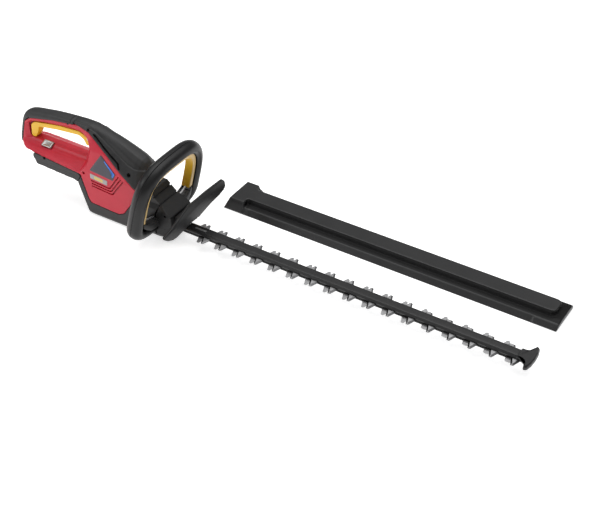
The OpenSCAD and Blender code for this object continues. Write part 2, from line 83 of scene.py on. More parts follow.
def area_light(name, place, target, size, power):
    data = bpy.data.lights.new(name, "AREA")
    data.shape = "RECTANGLE"
    data.size, data.size_y = size
    data.energy = power
    lamp = bpy.data.objects.new(name, data)
    lamp.location = place
    lamp.rotation_euler = (Vector(target) - Vector(place)).to_track_quat("-Z", "Y").to_euler()
    SCENE.collection.objects.link(lamp)


def make_sky():
    """A sky that is grey at the horizon and white overhead."""
    world = bpy.data.worlds.new("studio")
    world.use_nodes = True
    nodes, links = world.node_tree.nodes, world.node_tree.links
    place = nodes.new("ShaderNodeTexCoord")
    height = nodes.new("ShaderNodeSeparateXYZ")
    links.new(place.outputs["Generated"], height.inputs["Vector"])
    sky = color_ramp(nodes, SKY_RANGE, SKY_COLORS)
    links.new(height.outputs["Z"], sky.inputs["Fac"])
    links.new(sky.outputs["Color"], nodes["Background"].inputs["Color"])
    nodes["Background"].inputs["Strength"].default_value = SKY_STRENGTH
    SCENE.world = world


def make_studio():
    SCENE.view_settings.view_transform = "Standard"
    make_sky()
    for lamp in LAMPS:
        area_light(*lamp)
    edge = [(-FLOOR_HALF, FLOOR_TOP), (FLOOR_HALF, FLOOR_TOP), (FLOOR_HALF, FLOOR_LOW), (-FLOOR_HALF, FLOOR_LOW)]
    floor = solid("floor", [at_x(edge, -FLOOR_HALF), at_x(edge, FLOOR_HALF)])
    paper = plastic("floor_paper", (0.86, 0.86, 0.86), 0.9, 0.01)
    shader = paper.node_tree.nodes["Principled BSDF"]
    shader.inputs["Emission Color"].default_value = (1, 1, 1, 1)
    shader.inputs["Emission Strength"].default_value = FLOOR_GLOW
    floor.data.materials.append(paper)


# ---- Outlines and meshes ----

# The most of an edge that a rounded corner takes, its least half angle in radians, and a limit for inset corners
CORNER_SHARE, SHARPEST, INSET_LIMIT = 0.48, 0.05, 0.5


def rounded(points, radius, steps):
    """The closed outline with its corners turned into curves. radius is one number or one for each corner."""
    radii = radius if isinstance(radius, (list, tuple)) else [radius] * len(points)
    curve = []
    for i, corner in enumerate(points):
        corner = Vector(corner)
        before = Vector(points[i - 1]) - corner
        after = Vector(points[(i + 1) % len(points)]) - corner
        half_angle = max(before.angle(after) / 2, SHARPEST)
        reach = min(radii[i] / math.tan(half_angle), CORNER_SHARE * before.length, CORNER_SHARE * after.length)
        start = corner + before.normalized() * reach
        end = corner + after.normalized() * reach
        for k in range(steps + 1):
            t = k / steps
            curve.append(start * (1 - t) ** 2 + corner * (2 * t * (1 - t)) + end * t ** 2)
    return [tuple(p) for p in curve]


def mirrored(half):
    """The whole cross-section of a half one. Its first and last points are on the middle plane."""
    return list(half) + [(-y, z) for y, z in reversed(half[1:-1])]


def spline(points, steps):
    """A smooth curve through points of any dimension."""
    curve = []
    for i in range(len(points) - 1):
        four = [points[min(max(i + k, 0), len(points) - 1)] for k in (-1, 0, 1, 2)]
        for t in (k / steps for k in range(steps)):
            curve.append(tuple(b + 0.5 * t * (c - a + t * (2 * a - 5 * b + 4 * c - d + t * (3 * b - a - 3 * c + d)))
                               for a, b, c, d in zip(*four)))
    return curve + [tuple(points[-1])]


def inset(outline, distance):
    """A closed outline moved inwards by a distance."""
    points = [Vector(p) for p in outline]
    area = sum(p.x * q.y - q.x * p.y for p, q in zip(points, points[1:] + points[:1]))
    moved = []
    for i, p in enumerate(points):
        before = (p - points[i - 1]).normalized()
        after = (points[(i + 1) % len(points)] - p).normalized()
        along = (before + after).normalized()
        inward = Vector((-along.y, along.x)) * (1 if area > 0 else -1)
        moved.append(tuple(p + inward * distance / max(along.dot(after), INSET_LIMIT)))
    return moved


def band(x0, x1, half_width):
    """A plan between two values of X, symmetrical about the middle plane."""
    return [(x0, -half_width), (x1, -half_width), (x1, half_width), (x0, half_width)]


def at_y(outline, y):
    return [(x, y, z) for x, z in outline]


def at_x(outline, x):
    return [(x, y, z) for y, z in outline]


def at_z(outline, z):
    return [(x, y, z) for x, y in outline]


def new_object(name, mesh):
    obj = bpy.data.objects.new(name, mesh)
    SCENE.collection.objects.link(obj)
    return obj


def tidy_normals(mesh):
    bm = bmesh.new()
    bm.from_mesh(mesh)
    bmesh.ops.recalc_face_normals(bm, faces=bm.faces)
    bm.to_mesh(mesh)
    bm.free()



def solid(name, rings):
    """A closed skin over rings of points."""
    n = len(rings[0])
    points = [[c * MM for c in p] for ring in rings for p in ring]
    faces = []
    for a in range(0, len(points) - n, n):
        faces += [(a + i, a + (i + 1) % n, a + n + (i + 1) % n, a + n + i) for i in range(n)]
    faces += [tuple(range(n)), tuple(range(len(points) - n, len(points)))]
    mesh = bpy.data.meshes.new(name)
    mesh.from_pydata(points, [], faces)
    tidy_normals(mesh)
    return new_object(name, mesh)


def block(low, high):
    """A box between two corners."""
    square = [(low[1], low[2]), (high[1], low[2]), (high[1], high[2]), (low[1], high[2])]
    return beam(square, low[0], high[0])


def beam(outline, x0, x1):
    """A cross-section, Y and Z, between two values of X."""
    return solid("beam", [at_x(outline, x0), at_x(outline, x1)])


def slab(outline, y0, y1):
    """A side outline, X and Z, between two values of Y."""
    return solid("slab", [at_y(outline, y0), at_y(outline, y1)])


def column(outline, z0, z1):
    """A plan, X and Y, between two values of Z."""
    return solid("column", [at_z(outline, z0), at_z(outline, z1)])


def rod(start, end, radius, sides=24):
    """A round bar between two points."""
    start, end = Vector(start), Vector(end)
    turn = (end - start).to_track_quat("Z", "Y")
    circle = [turn @ Vector((radius * math.cos(a), radius * math.sin(a), 0))
              for a in (2 * math.pi * i / sides for i in range(sides))]
    return solid("rod", [[tuple(start + c) for c in circle], [tuple(end + c) for c in circle]])


def tube(path, radius):
    """A round cord along points in space, with flat ends."""
    points = [Vector(p) for p in path]
    turns = [2 * math.pi * k / TUBE_SIDES for k in range(TUBE_SIDES)]
    side = (points[1] - points[0]).orthogonal()
    rings = []
    for i, p in enumerate(points):
        along = (points[min(i + 1, len(points) - 1)] - points[max(i - 1, 0)]).normalized()
        side = (side - along * side.dot(along)).normalized()
        up = along.cross(side)
        rings.append([tuple(p + radius * (math.cos(a) * side + math.sin(a) * up)) for a in turns])
    return solid("tube", rings)


def plate(outline, levels, place):
    """A plate whose rim follows levels: how far each ring is moved in, and where it lies."""
    return solid("plate", [place(inset(outline, by), level) for by, level in levels])


def bake(obj):
    """Turns the modifiers of an object into its mesh."""
    graph = bpy.context.evaluated_depsgraph_get()
    mesh = bpy.data.meshes.new_from_object(obj.evaluated_get(graph))
    obj.modifiers.clear()
    old, obj.data = obj.data, mesh
    bpy.data.meshes.remove(old)
    return obj


def combine(obj, other, how, solver="MANIFOLD"):
    """UNION, DIFFERENCE or INTERSECT of two solids. The other one is used up."""
    step = obj.modifiers.new("combine", "BOOLEAN")
    step.operation = how
    step.solver = solver
    step.object = other
    bake(obj)
    bpy.data.objects.remove(other)
    return obj


def cut(obj, *tools, solver="MANIFOLD"):
    """Takes each tool away from a solid."""
    for tool in tools:
        combine(obj, tool, "DIFFERENCE", solver)
    return obj


def soften(obj, voxel, rounds):
    """Skins the solid again in even faces and eases its edges, as in a mould."""
    step = obj.modifiers.new("voxels", "REMESH")
    step.mode = "VOXEL"
    step.voxel_size = voxel * MM
    step.use_smooth_shade = True
    step = obj.modifiers.new("ease", "SMOOTH")
    step.factor = 0.5
    step.iterations = rounds
    return bake(obj)


def smooth(obj, sharp):
    obj.data.shade_smooth()
    obj.data.set_sharp_from_angle(angle=math.radians(sharp))


def flipped(obj, name):
    """A copy on the other side of the middle plane."""
    mesh = obj.data.copy()
    mesh.transform(Matrix.Scale(-1, 4, (0, 1, 0)))
    tidy_normals(mesh)
    return new_object(name, mesh)


def joined(name, parts):
    """Separate solids as one piece."""
    bm = bmesh.new()
    for part in parts:
        bm.from_mesh(part.data)
        bpy.data.objects.remove(part)
    mesh = bpy.data.meshes.new(name)
    bm.to_mesh(mesh)
    bm.free()
    return new_object(name, mesh)


def right_side(obj):
    """A function that gives the place in metres on a piece's right side, from X and Z in millimetres."""
    tree = BVHTree.FromPolygons([v.co for v in obj.data.vertices], [f.vertices for f in obj.data.polygons])
    return lambda x, z: tree.ray_cast(Vector((x, -OUTSIDE, z)) * MM, Vector((0, 1, 0)))[0]


def piece(obj, name, slot, *nodes, body="housing", finish=None, sharp=35):
    """Shades a finished piece smooth, names it, gives it its slot's finish or another one, ties it to its body and
    hides the CAD nodes it stands for.
    """
    smooth(obj, sharp)
    obj.name = name
    obj.data.materials.clear()
    obj.data.materials.append(FINISH[finish or slot])
    for face in obj.data.polygons:
        face.material_index = 0
    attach(obj, body)
    if nodes:
        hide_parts(*nodes)


def tint(obj, finish, chosen):
    """Another finish on the faces chosen by their centre, in millimetres, and their normal."""
    obj.data.materials.append(FINISH[finish])
    for face in obj.data.polygons:
        if chosen(face.center / MM, face.normal):
            face.material_index = len(obj.data.materials) - 1


# ---- Materials ----

# Slow changes of colour and gloss: scale, detail, and the range of the noise over which the colour changes
CLOUD_SCALE, CLOUD_DETAIL, CLOUD_RANGE = 28, 5, (0.3, 0.7)
GRAIN_DETAIL, GRAIN_STRENGTH = 2, 0.6
# Lines of ground metal: detail, strength and depth in mm
LINE_DETAIL, LINE_STRENGTH, LINE_DEPTH = 4, 0.35, 0.02
METAL_SPREAD = 0.1
# Moulded, coated and printed finishes, and a few with painted shade or highlight, with the values that plastic()
# takes
PLASTICS = {
    "red_plastic": ("red_moulding", (0.5, 0.014, 0.035), 0.4, 0.05, 0.03, 0.5, 0.35),
    "soft_grip": ("soft_grip", (0.021, 0.021, 0.0215), 0.5, 0.1, 0.06, 0.5, 0.4),
    "dark_plastic": ("dark_moulding", (0.019, 0.019, 0.0195), 0.46, 0.08, 0.05, 0.55, 0.35),
    "yellow_plastic": ("yellow_moulding", (0.84, 0.5, 0.015), 0.4, 0.05, 0.03, 0.5),
    # A paler, greyer copy of the yellow moulding, a painted highlight
    "pale_edge": ("pale_edge", (0.72, 0.5, 0.2), 0.35, 0.05, 0.02, 0.5),
    "silver_plastic": ("silver_button", (0.42, 0.43, 0.42), 0.28, 0.06, 0.02, 0.5, 0.5, 0.8),
    "switch_plastic": ("switch_plastic", (0.02, 0.02, 0.021), 0.45, 0.1, 0.03, 0.5),
    "circuit_board": ("circuit_board", (0.02, 0.13, 0.06), 0.4, 0.15, 0.03, 0.8),
    "black_casting": ("bar_enamel", (0.009, 0.009, 0.0095), 0.3, 0.12, 0.03, 0.9),
    "case_casting": ("case_enamel", (0.01, 0.01, 0.0103), 0.4, 0.1, 0.07, 0.8, 0.3),
    "dark_fastener": ("dark_screw", (0.012, 0.01, 0.01), 0.4, 0.15, 0.02, 0.4, 0.4),
    "seal_rubber": ("seal_rubber", (0.01, 0.01, 0.01), 0.7, 0.1, 0.04, 0.5, 0.3),
    "tip_plastic": ("tip_moulding", (0.009, 0.009, 0.0095), 0.3, 0.1, 0.03, 0.5, 0.45),
    "badge_film": ("badge_film", (0.034, 0.031, 0.046), 0.25, 0.06, 0.01, 0.6),
    "badge_stripe": ("badge_stripe", (0.04, 0.17, 0.65), 0.25, 0.06, 0.01, 0.6),
    "label_grey": ("label_grey", (0.33, 0.33, 0.33), 0.35, 0.06, 0.01, 0.6),
    "label_yellow": ("label_yellow", (0.6, 0.45, 0.12), 0.35, 0.06, 0.01, 0.6),
    "loop_plastic": ("loop_moulding", (0.007, 0.007, 0.0073), 0.38, 0.08, 0.05, 0.45, 0.3),
    "guard_plastic": ("guard_moulding", (0.012, 0.012, 0.0125), 0.42, 0.08, 0.05, 0.5, 0.3),
    "cover_plastic": ("cover_moulding", (0.022, 0.022, 0.0225), 0.36, 0.1, 0.02, 0.7, 0.32),
    # A near-black copy of the cover's moulding, painted shade for its ridge's walls and shelves
    "cover_side": ("cover_side", (0.005, 0.005, 0.0052), 0.4, 0.1, 0.02, 0.7, 0.15),
    # Near black and dull, painted shade for the motor cover's grooves
    "joint_line": ("joint_line", (0.002, 0.002, 0.002), 0.8, 0.1, 0.02, 0.5, 0.05),
}
# Ground and plated metals, two of them darker copies with painted shade, with the values that brushed() takes
METALS = {
    "contact_brass": ("contact_brass", (0.75, 0.55, 0.25), 0.3, (300, 300, 3000)),
    "motor_steel": ("motor_steel", (0.5, 0.51, 0.53), 0.35, (200, 200, 4000)),
    "spring_steel": ("spring_steel", (0.4, 0.4, 0.41), 0.35, (900, 900, 900)),
    "zinc_fastener": ("zinc_plate", (0.5, 0.5, 0.5), 0.33, (800, 800, 800)),
    "blade_steel": ("ground_steel", (0.37, 0.37, 0.375), 0.42, (2600, 60, 2600)),
    # Two darker copies of the blade steel, painted shade on the bevels chosen by which way they face
    "front_bevel_shade": ("front_bevel_shade", (0.3, 0.3, 0.305), 0.42, (2600, 60, 2600)),
    "rear_and_spine_shade": ("rear_and_spine_shade", (0.02, 0.02, 0.02), 0.5, (2600, 60, 2600)),
}


def color_ramp(nodes, places, colors):
    """A ramp node between two colours."""
    ramp = nodes.new("ShaderNodeValToRGB")
    for element, place, color in zip(ramp.color_ramp.elements, places, colors):
        element.position = place
        element.color = (*color, 1)
    return ramp


def noise(nodes, links, vector, scale, detail):
    texture = nodes.new("ShaderNodeTexNoise")
    texture.inputs["Scale"].default_value = scale
    texture.inputs["Detail"].default_value = detail
    links.new(vector, texture.inputs["Vector"])
    return texture.outputs["Fac"]


def relief(nodes, links, height, strength, depth):
    """Small heights on the material's shader, with a depth in mm."""
    bump = nodes.new("ShaderNodeBump")
    bump.inputs["Strength"].default_value = strength
    bump.inputs["Distance"].default_value = depth * MM
    links.new(height, bump.inputs["Height"])
    links.new(bump.outputs["Normal"], nodes["Principled BSDF"].inputs["Normal"])


def plastic(name, color, roughness, spread, grain=0.0, grain_size=0.0, shine=0.5, metallic=0.0):
    """A surface with slow colour and gloss changes and a fine moulded or blasted grain.

    spread is the share by which colour and roughness vary, grain the depth in mm and grain_size its pitch in mm.
    """
    material = bpy.data.materials.new(name)
    material.use_nodes = True
    nodes, links = material.node_tree.nodes, material.node_tree.links
    shader = nodes["Principled BSDF"]
    place = nodes.new("ShaderNodeTexCoord")
    cloud = noise(nodes, links, place.outputs["Object"], CLOUD_SCALE, CLOUD_DETAIL)
    tones = [[min(1, c * (1 + change)) for c in color] for change in (-spread, spread)]
    ramp = color_ramp(nodes, CLOUD_RANGE, tones)
    links.new(cloud, ramp.inputs["Fac"])
    links.new(ramp.outputs["Color"], shader.inputs["Base Color"])
    gloss = nodes.new("ShaderNodeMapRange")
    gloss.inputs["To Min"].default_value = roughness * (1 - spread)
    gloss.inputs["To Max"].default_value = min(1, roughness * (1 + spread))
    links.new(cloud, gloss.inputs["Value"])
    links.new(gloss.outputs["Result"], shader.inputs["Roughness"])
    shader.inputs["Metallic"].default_value = metallic
    shader.inputs["Specular IOR Level"].default_value = shine
    if grain:
        fine = noise(nodes, links, place.outputs["Object"], 1 / (grain_size * MM), GRAIN_DETAIL)
        relief(nodes, links, fine, GRAIN_STRENGTH, grain)
    return material


def brushed(name, color, roughness, stretch):
    """Ground or turned metal. stretch scales the noise along X, Y and Z, so that it runs in lines."""
    material = plastic(name, color, roughness, METAL_SPREAD, metallic=1.0)
    nodes, links = material.node_tree.nodes, material.node_tree.links
    place = nodes.new("ShaderNodeTexCoord")
    mapping = nodes.new("ShaderNodeMapping")
    mapping.inputs["Scale"].default_value = stretch
    links.new(place.outputs["Object"], mapping.inputs["Vector"])
    lines = noise(nodes, links, mapping.outputs["Vector"], 1, LINE_DETAIL)
    relief(nodes, links, lines, LINE_STRENGTH, LINE_DEPTH)
    return material


# One finish for each of the record's slots, and a few for details, some of them painted shade or highlight
FINISH = {key: plastic(*values) for key, values in PLASTICS.items()}
FINISH.update({key: brushed(*values) for key, values in METALS.items()})


# ---- Housing ----

# Half width of the housing and of the rear grip, and how far each half ends from the middle plane
BODY_HALF, GRIP_HALF, PARTING = 38, 14.2, 0.08
# How far cutters reach past the side, how far a red half is made over the middle plane before it is cut,
# and a distance from the middle plane that is outside everything
PAST, OVER, OUTSIDE = 4, 5, 80
GROOVE_HALF, TUBE_SIDES = 1.5, 12
# Half cross-section of the housing, as Y and Z
SHOULDER = [(0, -1), (33, -1), (38, 6), (38, 105), (31, 150), (24, 170), (19.3, 187), (16, 200), (0, 200)]
# The same where the panel runs into the rear grip
NARROW = [(0, -1), (33, -1), (38, 6), (38, 105), (27, 143), (17, 166), (14.4, 182), (14.4, 200), (0, 200)]
SECTION_CORNERS = [0, 3, 8, 26, 24, 14, 10, 0, 0]
# Along X, how far the section has grown from the narrow one to the full one
GROWTH = [(-92, 0), (-84, 0.04), (-76, 0.2), (-66, 0.6), (-57, 0.93), (-48, 1), (70, 1)]
# Side outlines, as X and Z
SEAM = [(-116, 181), (-91, 183.8), (-62, 179.8), (-42, 169), (-10, 148.3), (19, 125), (43, 108.8), (57, 98.5)]
PANEL = SEAM[1:] + [(47, 69), (23, 34), (9, 27), (-58, 30), (-64, 39), (-78, 86), (-78, 96), (-83, 178)]
PANEL_CORNERS = [1, 4, 6, 8, 8, 8, 3, 8, 8, 8, 6, 6, 8, 2, 2]
BELLY = rounded([(-88, 68.5), (-79, 84), (-65, 38), (-58.5, 29.3), (9.5, 26.3), (23.6, 33.5), (47.7, 68.6),
                 (58, 100.6), (66, 101), (66, 5), (60, 0.3), (-58, 0.3), (-66, 4)],
                [1, 1, 6, 6, 8, 8, 8, 3, 2, 6, 8, 8, 8], 4)
RAIL = rounded([(-80, 85), (-85, 89.7), (-166, 96.7), (-199, 98), (-199, 88), (-194, 81), (-192, 75), (-96, 71),
                (-88, 68)], [1, 2, 2, 3, 3, 3, 3, 3, 2], 3)
RING = [(-91, 184), (-79, 182.4), (-60, 150), (-62, 120), (-78, 100), (-150, 100), (-212, 100), (-240, 97.5),
        (-246, 97), (-243.5, 107), (-240, 122), (-233, 148.5), (-218, 159.8), (-160, 173.7), (-113, 180.8)]
RING_CORNERS = [1, 4, 10, 10, 6, 2, 2, 2, 2, 8, 10, 8, 10, 10, 10]
# The hand hole and its flare: distance from the middle plane, and the outline there
HOLE = [(-231, 149), (-217, 158), (-188, 165), (-140, 172), (-98, 174), (-80, 171), (-64, 162), (-64, 146),
        (-74, 136)]
FLARE = [
    (-8, [(-229, 112)] + HOLE + [(-82, 112)]), (9.3, [(-229, 114)] + HOLE + [(-82, 114)]),
    (9.6, [(-224, 114), (-225, 146), (-212, 152), (-188, 157.5), (-140, 164.5), (-98, 168), (-84, 165), (-75, 154),
           (-72, 141), (-74, 127), (-81, 114)]),
    (14, [(-238, 110), (-233, 145), (-218, 155), (-190, 162.3), (-152, 168.6), (-113, 174.6), (-87, 174), (-68, 163),
          (-64, 147), (-67, 128), (-77, 109)]),
    (20, [(-246, 106), (-240, 172), (-220, 192), (-190, 196), (-152, 198), (-113, 198), (-84, 183), (-64, 165),
          (-60, 147), (-64, 127), (-77, 107)]),
    (30, [(-251, 103), (-245, 190), (-220, 200), (-188, 202), (-150, 204), (-112, 204), (-84, 190), (-60, 166),
          (-53, 146), (-58, 124), (-77, 102)]),
    (41, [(-256, 97), (-248, 195), (-220, 204), (-188, 206), (-150, 208), (-112, 208), (-84, 192), (-60, 166),
          (-52, 146), (-61, 118), (-80, 93)]),
]
# Bar under the hand hole: place along X, half width, and height of the lower edge
SADDLE = [(-246.5, 12, 101), (-244, 15.5, 98.5), (-240, 19.5, 97.5), (-234, 24.5, 97.5), (-227, 29.5, 98.5),
          (-219, 34, 99.5), (-209, 37, 100), (-198, 38, 99.5), (-182, 38, 98.5), (-166, 38, 97.2), (-120, 38, 93),
          (-85, 38, 90), (-70, 38, 87)]
SADDLE_RIDGE, SADDLE_CORNERS = 117.5, [0, 9, 7, 2, 2, 0]
# Top of the motor cover: place, crest, top of its wall Y and Z, crease Y and Z, and seam Y and Z
HUMP = [
    (-108, 190.5, 8, 189.2, 12, 186, 14.3, 181), (-91, 192.2, 9, 190.5, 13.5, 186.5, 15.5, 184),
    (-64, 192.5, 10, 190, 14.5, 185.5, 19, 181), (-48, 190, 10.5, 187, 15, 181.5, 22.5, 175.5),
    (-27, 184.5, 12, 180.5, 16.5, 171.5, 27, 163), (-11, 180, 13.5, 175.2, 18.8, 163.5, 30, 153),
    (3, 175.3, 15.5, 169, 21, 156.5, 32.5, 142), (19, 169.5, 17, 162, 23.5, 148, 34.5, 130),
    (33, 164, 18.5, 155.5, 25.5, 141.5, 36, 119.5), (47, 158, 19, 149.5, 26, 137.5, 37.2, 110),
    (56, 153.2, 17.5, 145.5, 24, 136.8, 37, 102), (62, 148.3, 14, 141.5, 20.5, 136.2, 34.5, 99),
    (66.4, 142.6, 9.5, 138.2, 17, 135.5, 32, 97), (68.8, 137, 6, 135.3, 15, 133.5, 30.5, 95.5),
    (70, 128, 5, 127.5, 13.5, 127, 29.5, 94),
]
HUMP_CORNERS = [0, 8, 9, 0.6, 0.4, 6, 3, 0, 0]
HUMP_AREA = rounded([(-103.5, 185.3)] + [(x, z + 0.15) for x, z in SEAM[1:]] + [
    (57.4, 92), (72, 92), (72, 230), (-103.5, 230)], [0.5, 4, 6, 8, 8, 8, 3, 1, 1, 1, 1, 1], 4)
# Groove along each side of the motor cover in X and Z, its radius, and how far from its line the cover is painted
# with shade
JOINT = [(-50.5, 179.6), (-46, 178), (-27, 166.2), (-14, 158.2), (1, 149), (12, 142), (14.5, 137.4), (17, 132.5)]
JOINT_RADIUS, JOINT_SHADE = 1.5, 1.75
# The seal in it: its radius, and how far it lies under the surface
SEAL_RADIUS, SEAL_SUNK = 1.0, 0.4
# Black soft cover of the rear grip: inner line X and Z, then crest X and Z
GRIP = [
    (-246.5, 96.5, -249.5, 94.5), (-245.3, 102, -253.3, 102), (-242.5, 112, -252.8, 113), (-240, 122, -249.5, 124.5),
    (-233.5, 147, -241.5, 152.5), (-226.5, 156.3, -234, 166), (-216, 160.5, -221.5, 174.3), (-203, 164, -206, 178.8),
    (-184, 168.3, -186, 182), (-160, 173.7, -161.5, 185.8), (-138, 177.2, -139, 188.2), (-115, 180.6, -115.5, 190),
]
# Its front end: place along X, and how far the edge is drawn in
GRIP_END = [(-112.8, 0), (-112.4, 0.9), (-111.7, 0.9), (-111.3, 0), (-108, 0), (-104.8, 0), (-104, 0.8)]
# Screw holes as X and Z, and how far each screw's head is from the middle plane
SCREWS = [(-220, 160.5), (-118.5, 180), (-65, 184), (-170, 95), (-70, 96), (-244, 99)]
HEAD_FACES = [14, 14, 14.5, 31, 31, 13.5]
HOLE_RADIUS, HOLE_END, HEAD_RADIUS, HEAD_LENGTH = 3.1, 9, 2.7, 6
SOCKET_RADIUS, SOCKET_DEPTH = 1.4, 2
# The screw at the front of the motor cover, on both sides
NOSE_SCREW, NOSE_FACE, NOSE_HOLE_RADIUS, NOSE_HOLE_END, NOSE_RADIUS = (39, 126), 28, 4.2, 26, 2.8
# Cooling slots in the panel: the first one's path in X and Z, and each point's step to the next slot
SLOT_PATH = [(-52.5, 84.7), (-7, 81.2), (16.9, 115.7)]
SLOT_STEP = [(0.6, -6.2), (2.7, -6.05), (5.5, -3.35)]
SLOTS, SLOT_CORNER, SLOT_DEPTH = 3, 9, 4.5
# The power button's seat on the right slope, and the slope in degrees
BUTTON_SEAT, BUTTON_SLOPE = (-178, -13.5, 112.4), 26.8
# Films on each side: name, outline in X and Z, thickness and finish
FILMS = [
    ("badge", [(-26, 149), (9.5, 118.5), (3, 103.5), (-54, 108)], 0.5, "badge_film"),
    ("badge_stripe", [(-17.5, 139.3), (7.4, 118.4), (3.4, 109.6), (1.3, 110), (4.6, 117.9), (-18.7, 137.2)],
     0.7, "badge_stripe"),
    ("label_base", [(-53.2, 101), (-11, 98), (-12.5, 87), (-53.4, 90.5)], 0.45, "label_grey"),
    ("label_patch", [(-43, 98.6), (-22, 97.1), (-22.4, 89.6), (-43.2, 91.3)], 0.6, "label_yellow"),
]
FILM_CORNER, FILM_SUNK = 1.6, 0.4


def body_form():
    """The housing's form all along X. It grows narrow at the top towards the rear grip."""
    rings = []
    for x, share in GROWTH:
        half = [tuple(Vector(a).lerp(b, share)) for a, b in zip(NARROW, SHOULDER)]
        rings.append(at_x(mirrored(rounded(half, SECTION_CORNERS, 6)), x))
    return solid("body_form", rings)


def groove(path, corner, depth0, depth1):
    """A channel along a path in X and Z, cut into the right side between two distances from the middle."""
    curve = [Vector(p) for p in rounded(path, [0] + [corner] * (len(path) - 2) + [0], 5)]
    bent = [p for i, p in enumerate(curve) if (p - curve[i - 1]).length > 0.01]
    left, right = [], []
    for i, p in enumerate(bent):
        along = (bent[min(i + 1, len(bent) - 1)] - bent[max(i - 1, 0)]).normalized()
        across = Vector((-along.y, along.x)) * GROOVE_HALF
        left.append(tuple(p + across))
        right.append(tuple(p - across))
    return slab(left + right[::-1], -depth1, -depth0)


def screw_hole(x, z):
    return rod((x, -BODY_HALF - 3, z), (x, -HOLE_END, z), HOLE_RADIUS)


def screw_head(x, z, face, radius):
    """A head on the right side with a six-sided socket."""
    head = rod((x, -face, z), (x, -face + HEAD_LENGTH, z), radius)
    return cut(head, rod((x, -face - 1, z), (x, -face + SOCKET_DEPTH, z), SOCKET_RADIUS, 6))


def to_button_seat(obj):
    """Moves something made round the origin to the power button's seat."""
    turn = Matrix.Rotation(math.radians(BUTTON_SLOPE), 4, "X")
    obj.data.transform(Matrix.Translation(Vector(BUTTON_SEAT) * MM) @ turn)
    return obj


def make_saddle():
    """The right half, and a little more, of the bar under the hand hole."""
    rings = []
    for x, half_width, low in SADDLE:
        half = [(0, SADDLE_RIDGE), (3, SADDLE_RIDGE), (half_width, low + 5.5), (half_width, low),
                (half_width - 3, low - 1), (0, low - 1)]
        rings.append(at_x(mirrored(rounded(half, SADDLE_CORNERS, 4)), x))
    return combine(solid("saddle", rings), block((-260, -45, 60), (-60, OVER, 130)), "INTERSECT")


def make_red_half():
    """The right half of the red housing, up to its parting line."""
    shell = slab(rounded(PANEL, PANEL_CORNERS, 4), -BODY_HALF - PAST, OVER)
    combine(shell, body_form(), "INTERSECT")
    combine(shell, slab(rounded(RING, RING_CORNERS, 4), -GRIP_HALF, OVER), "UNION")
    combine(shell, make_saddle(), "UNION")
    cut(shell, solid("flare", [at_y(rounded(outline, 11, 6), -depth) for depth, outline in FLARE]))
    soften(shell, 1.0, 7)
    return combine(shell, block((-300, -60, -10), (120, -PARTING, 220)), "INTERSECT")


def make_red_shells():
    """Both red halves. The right one, which has the power button's pocket, is given back."""
    right = make_red_half()
    cut(right, *[screw_hole(x, z) for x, z in SCREWS])
    for k in range(SLOTS):
        path = [(x + dx * k, z + dz * k) for (x, z), (dx, dz) in zip(SLOT_PATH, SLOT_STEP)]
        cut(right, groove(path, SLOT_CORNER, BODY_HALF - SLOT_DEPTH, BODY_HALF + 3))
    left = flipped(right, "left")
    cut(right, to_button_seat(block((-12.6, -8.6, -4), (12.6, 7.6, 9))))
    for obj, side in ((right, "right"), (left, "left")):
        piece(obj, f"red_shell_{side}", "red_plastic", f"{side}_shell")
    return right


def make_film(outline, thickness, place):
    """A thin film on the panel with an outline in X and Z. place gives the panel's surface."""
    points = [Vector(p) for p in rounded(outline, FILM_CORNER, 3)]
    middle = sum(points, Vector((0, 0))) / len(points)
    rings = []
    for share, lift in [(0.02, -FILM_SUNK), (1, -FILM_SUNK), (1, thickness * 0.6)] + [
            (share, thickness) for share in (0.985, 0.8, 0.6, 0.4, 0.2, 0.02)]:
        ring = []
        for p in points:
            x, z = middle + (p - middle) * share
            ring.append((x, max(place(x, z).y / MM, -BODY_HALF) - lift, z))
        rings.append(ring)
    return solid("film", rings)


def make_badges(shell):
    """A plain dark badge with a chevron stripe, and a strip of plain colour patches, on each side."""
    place = right_side(shell)
    for name, outline, thickness, finish in FILMS:
        right = make_film(outline, thickness, place)
        left = flipped(right, name)
        for obj, side in ((right, "right"), (left, "left")):
            nodes = ["side_badges"] if (name, side) == ("badge", "right") else []
            piece(obj, f"{name}_{side}", "badge_film", *nodes, finish=finish)


